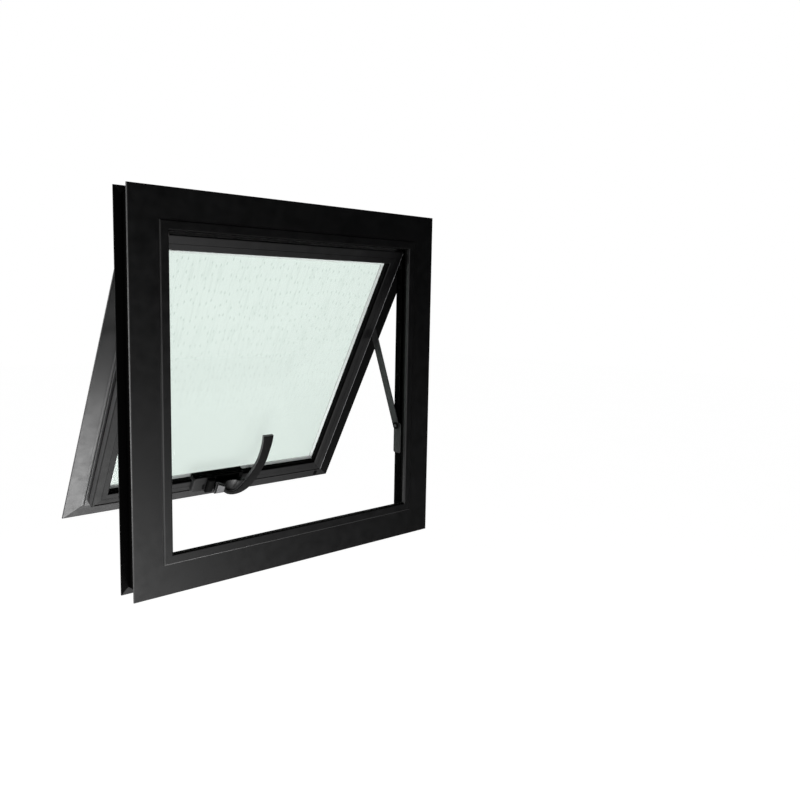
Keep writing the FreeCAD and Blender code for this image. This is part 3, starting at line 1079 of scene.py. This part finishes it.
@dataclass
class Sash:
    """The open sash with its glass, gaskets and corner cleat."""

    plane: SashPlane
    rubber: SealRubber = SealRubber("gasket_rubber")
    body_front: float = 17 * MM
    body_half: float = 249 * MM
    body_foot: float = 31 * MM
    inner_half: float = 223 * MM
    # Width of the pane's painted highlight beside the gasket, and its blend.
    rim_width: float = 6.4 * MM
    rim_blend: float = 2.4 * MM
    glass_fade: Pair = (0.2, 0.75)
    edge_round: float = 2 * MM
    # Levels of the wall beside the gasket and of the flange's back, where painted shade starts and
    # ends.
    wall_dark: float = 15.4 * MM
    flange_back: float = 2.4 * MM
    stile_gloss: float = 0.42
    # Colours of the painted highlights on the left stile and the weather strip, and where the strip's
    # painted shade begins.
    stile_highlight: Colour = (0.22, 0.22, 0.222)
    strip_highlight: Colour = (0.17, 0.17, 0.172)
    strip_end: float = 240 * MM
    plate_size: Point = (8 * MM, 11 * MM, 0.6 * MM)
    plate_corner: float = 2 * MM
    plate_edge: float = 0.18 * MM
    plate_inset: float = 30 * MM
    plate_foot: float = 4 * MM

    def dress(self) -> None:
        """Give the rails, stiles, beads, pane and gaskets their finishes, with painted shade and
        painted highlights.
        """
        paints = {
            "sash_rail_bottom": self.rail_paint(),
            "sash_rail_top": PowderCoat("top_rail_black"),
            "sash_stile_left": self.near_stile_paint(),
            "sash_stile_right": self.far_stile_paint(),
            "sash_seal": self.strip_paint(),
        }
        for node, paint in paints.items():
            cover(node, paint.material())
        self.paint_beads()
        rubber = self.rubber.material()
        for node in ("gasket_room_side", "gasket_outside"):
            cover(node, rubber)
        self.glaze()
        self.corner_plate(rubber)

    def glaze(self) -> None:
        """Give the pane its glass, rolled on the room side and plainer towards the foot, with painted
        shade towards the foot and a painted highlight on its rim beside the gaskets.
        """
        face, rise = tuple(self.plane.face), tuple(self.plane.rise)
        levels = self.plane.levels("glass_pane", self.plane.rise)
        foot, head = min(levels), max(levels)
        back, front = self.plane.back_of("glass_pane"), self.plane.front_of("glass_pane")
        rolled = Band(face, ((back, 0.0), (front, 1.0)))
        room_side = Band(face, ((back, 1.0), (front, 0.0)))
        fade = tuple(foot + share * (head - foot) for share in self.glass_fade)
        # The rim beside the gaskets on the room side gets the painted highlight.
        side = self.inner_half
        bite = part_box("glass_pane")[1][0] - side
        rim = (Region((self.between(ACROSS, -side, side), room_side)),
               Region((self.between(rise, foot + bite, head - bite), room_side)))
        cover("glass_pane", ObscureGlass(rise, fade, rolled, rim).material())

    def between(self, way: Point, low: float, high: float) -> Band:
        """Band over the pane that is low on its rim at two opposite sides.

        Args:
            way: Direction along the pane.
            low: Level of the gasket at one end.
            high: Level of the gasket at the other end.

        Returns:
            The band.
        """
        rim, clear = self.rim_width, self.rim_width + self.rim_blend
        return Band(way, ((low, 0.0), (low + rim, 0.0), (low + clear, 1.0),
                          (high - clear, 1.0), (high - rim, 0.0), (high, 0.0)))

    def facing(self, *stops: Pair) -> Band:
        """Band towards the room, at levels from the flange."""
        level = self.plane.back_of("sash_seal")
        return Band(tuple(self.plane.face), tuple((level + b, share) for b, share in stops))

    def rail_paint(self) -> PowderCoat:
        """Paint of the lower rail, with painted shade over its front and a thin painted shadow along
        the lower front edge of its body.

        Returns:
            The finish.
        """
        foot, back = self.plane.foot + self.body_foot, self.flange_back
        # Painted shadow: a thin dark line along the lower front edge of the body.
        foot_shadow = Region((
            Band(tuple(self.plane.rise), (
                (foot + 2.6 * MM, OPEN), (foot + 3.0 * MM, PITCH), (foot + 4.8 * MM, PITCH),
                (foot + 5.4 * MM, OPEN))),
            self.facing((13 * MM, OPEN), (14 * MM, PITCH))))
        # Painted shade over the flange and the front of the rail.
        ledge = Region((self.facing(
            (-back, OPEN), (-back / 2, LOW), (12 * MM, LOW), (self.wall_dark, SOFT)),))
        return PowderCoat("rail_black", recesses=(ledge, foot_shadow))

    def near_stile_paint(self) -> PowderCoat:
        """Paint of the left stile: painted shade on its front, and painted light on its side wall and
        along the weather strip.

        Returns:
            The finish.
        """
        side, seal = -self.body_half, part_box("sash_seal")[0][0]
        # Painted shade on the front, painted light on the side wall and along the strip.
        front = Region((self.facing((12 * MM, OPEN), (self.wall_dark, SOFT)),))
        wall = Region((
            Band(ACROSS, ((side + 0.3 * MM, FULL_HIGHLIGHT), (side + 1.5 * MM, NO_HIGHLIGHT))),
            self.facing((0.3 * MM, NO_HIGHLIGHT), (0.8 * MM, FULL_HIGHLIGHT), (15 * MM, FULL_HIGHLIGHT), (16 * MM, NO_HIGHLIGHT))))
        strip = Region((
            Band(ACROSS, ((seal - 5 * MM, NO_HIGHLIGHT), (seal - 3 * MM, 0.6), (seal, 0.6),
                          (seal + 1 * MM, NO_HIGHLIGHT))),
            self.facing((-0.5 * MM, NO_HIGHLIGHT), (-0.2 * MM, FULL_HIGHLIGHT), (0.3 * MM, FULL_HIGHLIGHT),
                        (0.8 * MM, NO_HIGHLIGHT))))
        return PowderCoat("stile_black", gloss=self.stile_gloss, recesses=(front,),
                          edges=(wall, strip), highlight_colour=self.stile_highlight)

    def far_stile_paint(self) -> PowderCoat:
        """Paint of the right stile: painted shade on its flange and side wall, and a painted
        highlight on its front edge.

        Returns:
            The finish.
        """
        side, back, wall = self.body_half - self.edge_round, self.flange_back, self.wall_dark
        behind = Region((self.facing(
            (-back, OPEN), (-back / 2, DIM), (wall - 1 * MM, DIM), (wall, OPEN)),))
        edge = Region((
            Band(ACROSS, ((side - 0.4 * MM, NO_HIGHLIGHT), (side + 0.4 * MM, FULL_HIGHLIGHT))),
            self.facing((13.4 * MM, NO_HIGHLIGHT), (14.4 * MM, FULL_HIGHLIGHT))))
        return PowderCoat("far_stile_black", recesses=(behind,), edges=(edge,))

    def strip_paint(self) -> PowderCoat:
        """Finish of the weather strip: painted shade over its lower and right runs, and a painted
        highlight down its left side.

        Returns:
            The finish.
        """
        end, left = -self.strip_end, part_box("sash_seal")[0][0]
        shade = Region((Band(ACROSS, ((end, OPEN), (end + 8 * MM, PITCH))),))
        run = Region((Band(ACROSS, ((left + 0.2 * MM, FULL_HIGHLIGHT), (left + 0.8 * MM, NO_HIGHLIGHT))),))
        return PowderCoat("strip_black", recesses=(shade,), edges=(run,), highlight_colour=self.strip_highlight)

    def paint_beads(self) -> None:
        """Paint the beads, with painted shade along the wall beside the gasket and over the fronts of
        the lower and left beads.
        """
        wall = (self.body_front - 0.9 * MM, PITCH)
        for side, share in (("bottom", SOFT), ("left", SOFT), ("top", OPEN), ("right", OPEN)):
            inner = Region((self.facing(wall, (self.body_front - 0.15 * MM, share)),))
            cover(f"bead_{side}", PowderCoat(f"bead_{side}_black", recesses=(inner,)).material())

    def corner_plate(self, finish: Material) -> None:
        """Fit a thin cleat plate at the lower right corner of the flange.

        Args:
            finish: Material of the plate.
        """
        width, height, _ = self.plate_size
        plate = Workbench.plate("corner_plate", self.plate_size, self.plate_corner, 4)
        Workbench.round_edges(plate, self.plate_edge)
        Workbench.smooth(plate)
        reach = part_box("sash_rail_bottom")[1][0] - self.plate_inset - width / 2
        flange = self.plane.back_of("sash_seal")
        spot = self.plane.spot(reach, height / 2 + self.plate_foot, flange)
        Workbench.fit(plate, spot, Slot.SASH, finish)


@dataclass
class Stay:
    """One friction stay: track, arm, pivot and slider, with its shoe, rivet and screws."""

    side: Side
    steel: Material
    bush: Material
    metal: Material
    rivet: Rivet = field(default_factory=lambda: Rivet(2.6 * MM, 0.7 * MM))
    screw: CrossScrew = field(default_factory=lambda: CrossScrew(3.4 * MM, 1.5 * MM))
    screw_rises: tuple[float, ...] = (0.30, 0.40, 0.465)
    track_plate: float = 1.5 * MM
    track_fade: float = 6 * MM
    shoe_width: float = 20 * MM
    shoe_thick: float = 0.5 * MM
    shoe_corner: float = 4 * MM
    shoe_edge: float = 0.175 * MM
    shoe_lap: float = 5 * MM

    def dress(self) -> None:
        """Give the stay its coat, with painted shade on the track above the pivot, and fit the shoe,
        the rivet and the track's screws.
        """
        word = self.side.name.lower()
        cover(f"stay_arm_{word}", self.steel)
        for part in ("pivot", "slider"):
            cover(f"stay_{part}_{word}", self.bush)
        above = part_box(f"stay_pivot_{word}")[1][2]
        # Painted shade: the track's channel turns dark above the pivot.
        channel = Region((Band(UP, ((above - self.track_fade, OPEN), (above, PITCH))),))
        cover(f"stay_track_{word}", CoatedSteel(f"track_coat_{word}", recesses=(channel,)).material())
        self.fit_shoe(word)
        self.fit_rivet(word)
        self.fit_screws(word)

    def facing(self, point: Vector) -> Matrix:
        """Place a piece on the stay so that it faces the middle of the window.

        Args:
            point: Where its foot goes.

        Returns:
            The placement.
        """
        out, along = Vector((-self.side.value, 0, 0)), Vector(UP)
        return axes(along.cross(out), along, out, point)

    def sides_of(self, node: str) -> tuple[float, float]:
        """Give where a node ends towards the middle of the window and towards the jamb."""
        low, high = (corner[0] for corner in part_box(node))
        return (low, high) if self.side is Side.RIGHT else (high, low)

    def fit_shoe(self, word: str) -> None:
        """Cover the track's tail below the pivot with a thin shoe plate.

        Args:
            word: Side of the window.
        """
        low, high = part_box(f"stay_track_{word}")
        pivot_low, pivot_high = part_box(f"stay_pivot_{word}")
        top = (pivot_low[2] + pivot_high[2]) / 2 + self.shoe_lap
        size = (self.shoe_width, top - low[2], self.shoe_thick)
        shoe = Workbench.plate(f"stay_shoe_{word}", size, self.shoe_corner, 5)
        Workbench.round_edges(shoe, self.shoe_edge)
        Workbench.smooth(shoe)
        inner = self.sides_of(f"stay_track_{word}")[0]
        centre = Vector((inner, high[1] - self.shoe_width / 2, (low[2] + top) / 2))
        Workbench.fit(shoe, self.facing(centre), Slot.STAY, self.steel)

    def fit_rivet(self, word: str) -> None:
        """Close the lower pivot with a peened rivet.

        Args:
            word: Side of the window.
        """
        low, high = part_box(f"stay_pivot_{word}")
        inner = self.sides_of(f"stay_pivot_{word}")[0]
        centre = Vector((inner, (low[1] + high[1]) / 2, (low[2] + high[2]) / 2))
        head = self.rivet.build(f"pivot_rivet_{word}")
        Workbench.fit(head, self.facing(centre), Slot.STAY, self.metal)

    def fit_screws(self, word: str) -> None:
        """Fix the track to the jamb with screws along its channel.

        Args:
            word: Side of the window.
        """
        low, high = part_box(f"stay_track_{word}")
        bed = self.sides_of(f"stay_track_{word}")[1] - self.side.value * self.track_plate
        first = self.screw.build(f"track_screw_{word}_1")
        heads = [first] + [Workbench.copy(first, f"track_screw_{word}_{i}")
                           for i in range(2, len(self.screw_rises) + 1)]
        for head, rise in zip(heads, self.screw_rises):
            point = Vector((bed, (low[1] + high[1]) / 2, rise))
            # The screw heads take the black bush finish as painted shade, dark like the channel
            # around them.
            Workbench.fit(head, self.facing(point), Slot.STAY, self.bush)


@dataclass
class Handle:
    """The lever handle on the lower rail, with the plug over its fixing."""

    plane: SashPlane
    metal: BareCasting = BareCasting("cap_metal", (0.085, 0.085, 0.088), (0.125, 0.125, 0.128))
    peel: Pair = (0.6 * MM, 1.0)
    # Colour of the painted highlight on the base's left end, and where the base's painted shade in
    # its well begins.
    base_highlight: Colour = (0.045, 0.045, 0.046)
    well_left: float = -21 * MM
    # Colour of the painted highlights on the lever's sides.
    lever_highlight: Colour = (0.10, 0.10, 0.102)
    lever_thick: float = 6 * MM
    web_top: float = 54 * MM
    tip_depth: float = 1.3 * MM
    tip_rise: float = 1.2 * MM
    inner_pull: Pair = (-3.9 * MM, 60 * MM)
    outer_pull: Pair = (5.0 * MM, 38 * MM)
    weld: float = 0.01 * MM
    plug_size: Point = (4.4 * MM, 11 * MM, 0.9 * MM)
    plug_corner: float = 1.98 * MM
    plug_rim: float = 0.88 * MM
    plug_dip: float = 0.36 * MM
    plug_edge: float = 0.18 * MM
    plug_across: float = -41 * MM
    plug_rise: float = 45.5 * MM

    def dress(self) -> None:
        """Give the handle its paint, with painted shade and painted highlights, and its uncoated
        metal cap, shape the lever and fit the plug.
        """
        front = self.plane.front_of("handle_base")
        cover("handle_base", self.base_paint(front).material())
        cover("handle_cam", self.housing_paint().material())
        paint = self.lever_paint().material()
        cover("handle_lever", paint)
        self.shape_lever(paint)
        cover("handle_cap", self.metal.material())
        self.fit_plug(front)

    def base_paint(self, front: float) -> PowderCoat:
        """Paint of the base: painted shade on its top, in its well and towards its right end, and a
        painted highlight on its left end.

        Args:
            front: Level of the base's front face.

        Returns:
            The finish.
        """
        rise, well = tuple(self.plane.rise), self.well_left
        top = max(self.plane.levels("handle_base", self.plane.rise))
        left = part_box("handle_base")[0][0]
        end = Region((
            Band(ACROSS, ((left + 0.4 * MM, FULL_HIGHLIGHT), (left + 1.2 * MM, NO_HIGHLIGHT))),
            Band(rise, ((top - 9 * MM, FULL_HIGHLIGHT), (top - 6 * MM, NO_HIGHLIGHT)))))
        ledge = Region((Band(rise, ((top - 3.4 * MM, OPEN), (top - 2.2 * MM, PITCH))),))
        hollow = Region((
            Band(tuple(self.plane.face), ((front - 2.4 * MM, PITCH), (front - 1.0 * MM, OPEN))),
            Band(ACROSS, ((well, OPEN), (well + 2 * MM, PITCH)))))
        shade = Region((Band(ACROSS, (
            (-60 * MM, SOFT), (-42 * MM, SOFT * 0.8), (-30 * MM, DIM), (0.0, DIM))),))
        return PowderCoat("base_black", relief=self.peel, recesses=(ledge, hollow, shade),
                          edges=(end,), highlight_colour=self.base_highlight)

    def housing_paint(self) -> PowderCoat:
        """Paint of the pivot housing, with painted shade towards its right side.

        Returns:
            The finish.
        """
        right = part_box("handle_cam")[1][0]
        shade = Region((Band(ACROSS, (
            (right - 10 * MM, DIM), (right - 3 * MM, DIM / 2), (right - 1 * MM, PITCH))),))
        return PowderCoat("housing_black", relief=self.peel, recesses=(shade,))

    def lever_paint(self) -> PowderCoat:
        """Paint of the lever: painted shade on its front, and painted highlights along its sides and
        above the web.

        Returns:
            The finish.
        """
        face, level = tuple(self.plane.face), self.plane.front_of("handle_lever")
        web, middle = self.plane.foot + self.web_top, level - self.lever_thick / 2
        flat = Region((Band(face, ((level - 1.3 * MM, OPEN), (level - 0.5 * MM, DIM * 1.6))),))
        edge = ((level - 1.2 * MM, FULL_HIGHLIGHT), (level - 0.6 * MM, NO_HIGHLIGHT))
        side = Region((
            Band(tuple(self.plane.rise), ((web, NO_HIGHLIGHT), (web + 2 * MM, FULL_HIGHLIGHT))),
            Band(face, ((level - self.lever_thick, FULL_HIGHLIGHT), *edge))))
        above_web = Region((Band(face, ((middle, NO_HIGHLIGHT), (middle + 0.6 * MM, FULL_HIGHLIGHT), *edge)),))
        return PowderCoat("lever_black", relief=self.peel, recesses=(flat,),
                          edges=(side, above_web), highlight_colour=self.lever_highlight)

    def shape_lever(self, finish: Material) -> None:
        """Make the lever with a blade that keeps its width up to its end.

        Args:
            finish: Paint of the lever.
        """
        lever = bpy.data.objects.new("lever_sickle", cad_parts["handle_lever"].data.copy())
        bpy.context.collection.objects.link(lever)
        with Workbench.editing(lever):
            bpy.ops.mesh.select_all(action="SELECT")
            bpy.ops.mesh.remove_doubles(threshold=self.weld)
            self.pull_tip(lever, *self.inner_pull)
            self.pull_tip(lever, *self.outer_pull)
        Workbench.smooth(lever)
        Workbench.fit(lever, Matrix.Identity(4), Slot.HANDLE, finish)
        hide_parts("handle_lever")

    def pull_tip(self, lever: Piece, pull: float, reach: float) -> None:
        """Pull one edge of the blade aside at its end, while the other edge is hidden.

        Args:
            lever: Lever in edit mode.
            pull: How far the edge goes, to the right where it is positive.
            reach: Length of the blade that follows its end.
        """
        rise = self.plane.rise
        end = max(self.plane.levels("handle_lever", rise)) - self.tip_depth
        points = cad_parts["handle_lever"].data.vertices
        tip = [v.co.x for v in points if v.co.dot(rise) > end]
        middle = (min(tip) + max(tip)) / 2
        Workbench.pick(lever, Part.POINTS, lambda v: (v.co.x - middle) * pull < 0)
        bpy.ops.mesh.hide()
        Workbench.pick(lever, Part.POINTS, lambda v: not v.hide and v.co.dot(rise) > end)
        bpy.ops.transform.translate(
            value=self.plane.across * pull + rise * self.tip_rise, use_proportional_edit=True,
            proportional_edit_falloff="LINEAR", proportional_size=reach)
        bpy.ops.mesh.reveal(select=False)

    def fit_plug(self, front: float) -> None:
        """Close the fixing hole beside the housing with an oblong black plug.

        Args:
            front: Level of the base's front face.
        """
        plug = Workbench.plate("base_plug", self.plug_size, self.plug_corner, 6)
        Workbench.sink(plug, self.plug_rim, -self.plug_dip)
        Workbench.round_edges(plug, self.plug_edge)
        Workbench.smooth(plug)
        spot = self.plane.spot(self.plug_across, self.plug_rise, front)
        Workbench.fit(plug, spot, Slot.HANDLE, SealRubber("plug_black").material())


def cover(node: str, finish: Material) -> None:
    """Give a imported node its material.

    Args:
        node: Name of the node.
        finish: Material to put on it.
    """
    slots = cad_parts[node].data.materials
    slots.clear()
    slots.append(finish)
    log.info("node %s dressed in %s", node, finish.name)


@dataclass(frozen=True)
class SoftLamp:
    """Square soft box."""

    name: str
    place: Point
    aim: Point
    size: float
    watts: float

    def build(self) -> None:
        """Hang the lamp and turn it to its aim, unseen by the camera and through the glass."""
        lamp = bpy.data.lights.new(self.name, "AREA")
        lamp.energy = self.watts
        lamp.size = self.size
        holder = bpy.data.objects.new(self.name, lamp)
        bpy.context.collection.objects.link(holder)
        way = Vector(self.aim) - Vector(self.place)
        holder.matrix_world = (Matrix.Translation(self.place)
                               @ way.to_track_quat("-Z", "Y").to_matrix().to_4x4())
        holder.visible_camera = False
        holder.visible_transmission = False
        log.info("lamp %s hung", self.name)


@dataclass(frozen=True)
class BlackCard:
    """Black cloth card that keeps the white room out of the paint's reflections."""

    name: str
    place: Point
    turn: Point
    width: float
    height: float

    def build(self, cloth: Material) -> None:
        """Hang the card where the camera doesn't see it.

        Args:
            cloth: Material of the card.
        """
        Workbench.clear()
        bpy.ops.mesh.primitive_plane_add(
            size=1, location=self.place, rotation=[math.radians(a) for a in self.turn])
        bpy.context.object.scale = (self.width, self.height, 1)
        card = Workbench.named(self.name)
        card.data.materials.append(cloth)
        for rays in ("camera", "transmission", "diffuse", "shadow"):
            setattr(card, f"visible_{rays}", False)
        log.info("card %s hung", self.name)


@dataclass
class Studio:
    """White stage, dim sky, soft boxes and the black cards that shade them."""

    floor_level: float = -0.95
    floor_size: float = 30.0
    paper: StageCloth = StageCloth("stage_white", (0.441,) * 3, (0.45,) * 3, 0.4, 0.84)
    cloth: StageCloth = StageCloth("stage_black", (0.001,) * 3, (0.002,) * 3, 0.05)
    sky: float = 0.35
    lamps: tuple[SoftLamp, ...] = (
        SoftLamp("front_low_box", (0.2, -1.9, -0.75), (-0.2, 0.0, 0.1), 0.7, 11.0),
        SoftLamp("under_box", (-0.05, -0.05, -0.8), (-0.25, 0.2, 0.1), 0.6, 11.0),
        SoftLamp("left_box", (-2.2, -0.5, 0.2), (0.0, 0.1, 0.2), 0.8, 4.0),
        SoftLamp("back_left_box", (-1.35, 1.35, 0.05), (-0.2, 0.15, 0.2), 0.8, 8.0),
        SoftLamp("front_left_box", (-1.0, -2.4, 0.2), (0.2, 0.0, 0.25), 0.6, 12.0),
        SoftLamp("back_right_box", (2.0, 0.9, 0.5), (0.1, 0.1, 0.25), 0.8, 10.0),
    )
    cards: tuple[BlackCard, ...] = (
        BlackCard("card_above", (0.0, -1.0, 2.4), (0, 0, 0), 9.0, 7.0),
        BlackCard("card_front", (0.5, -3.2, 1.0), (90, 0, 0), 9.0, 2.8),
        BlackCard("card_right", (3.4, -1.6, 0.8), (90, 0, 90), 5.0, 3.4),
        BlackCard("card_floor", (2.95, -2.4, -0.94), (0, 0, 0), 4.1, 3.4),
        BlackCard("card_side", (2.5, 0.1, -0.94), (0, 0, 0), 3.0, 1.0),
    )

    def build(self) -> None:
        """Lay the floor, hang the cards and lamps and light the world."""
        self.lay_floor()
        cloth = self.cloth.material()
        for card in self.cards:
            card.build(cloth)
        self.light_world()
        for lamp in self.lamps:
            lamp.build()

    def lay_floor(self) -> None:
        """Lay the stage paper on the floor."""
        Workbench.clear()
        bpy.ops.mesh.primitive_plane_add(size=self.floor_size, location=(0, 0, self.floor_level))
        floor = Workbench.named("stage_floor")
        floor.data.materials.append(self.paper.material())

    def light_world(self) -> None:
        """Fill the room with a dim even sky that shows white behind the window."""
        world = bpy.data.worlds.new("studio_world")
        bpy.context.scene.world = world
        world.use_nodes = True
        wiring = Wiring(world.node_tree)
        sky = wiring.add("ShaderNodeBackground")
        sky.inputs["Color"].default_value = (1.0, 1.0, 1.0, 1.0)
        strength = wiring.combine("MAXIMUM", wiring.seen_rays(1.0), self.sky)
        wiring.link(strength, sky.inputs["Strength"])
        output = wiring.add("ShaderNodeOutputWorld")
        wiring.link(sky.outputs["Background"], output.inputs["Surface"])


@dataclass(frozen=True)
class PhotoCamera:
    """Camera at the viewing angle of the photograph."""

    place: Point = (-0.7931, -1.0740, 0.4407)
    heading: float = 43.62
    pitch: float = -6.47
    roll: float = 1.12
    focal_px: float = 797.9
    centre_px: tuple[float, float] = (401.5, 390.3)
    frame_px: float = 800.0
    sensor: float = 36.0

    def build(self) -> None:
        """Stand the camera in its place and make it the scene's own."""
        lens = bpy.data.cameras.new("photo_camera")
        lens.sensor_width = self.sensor
        lens.lens = self.focal_px * self.sensor / self.frame_px
        lens.shift_x = (self.frame_px / 2 - self.centre_px[0]) / self.frame_px
        lens.shift_y = (self.centre_px[1] - self.frame_px / 2) / self.frame_px
        holder = bpy.data.objects.new("photo_camera", lens)
        bpy.context.collection.objects.link(holder)
        turn = (Matrix.Rotation(math.radians(-self.heading), 4, "Z")
                @ Matrix.Rotation(math.radians(90 + self.pitch), 4, "X")
                @ Matrix.Rotation(math.radians(self.roll), 4, "Z"))
        holder.matrix_world = Matrix.Translation(self.place) @ turn
        bpy.context.scene.camera = holder


def main() -> None:
    """Dress the window, fit its hardware and set up the studio."""
    logging.basicConfig(level=logging.INFO, format="%(message)s")
    Workbench.clear()
    bpy.context.scene.view_settings.view_transform = "Standard"
    plane = SashPlane()
    Frame().dress()
    Sash(plane).dress()
    steel = CoatedSteel("stay_coat").material()
    bush = SealRubber("pivot_bush").material()
    peened = BareCasting("rivet_metal", (0.05, 0.05, 0.052), (0.09, 0.09, 0.092)).material()
    for side in Side:
        Stay(side, steel, bush, peened).dress()
    Handle(plane).dress()
    Studio().build()
    PhotoCamera().build()


if __name__ == "__main__":
    main()
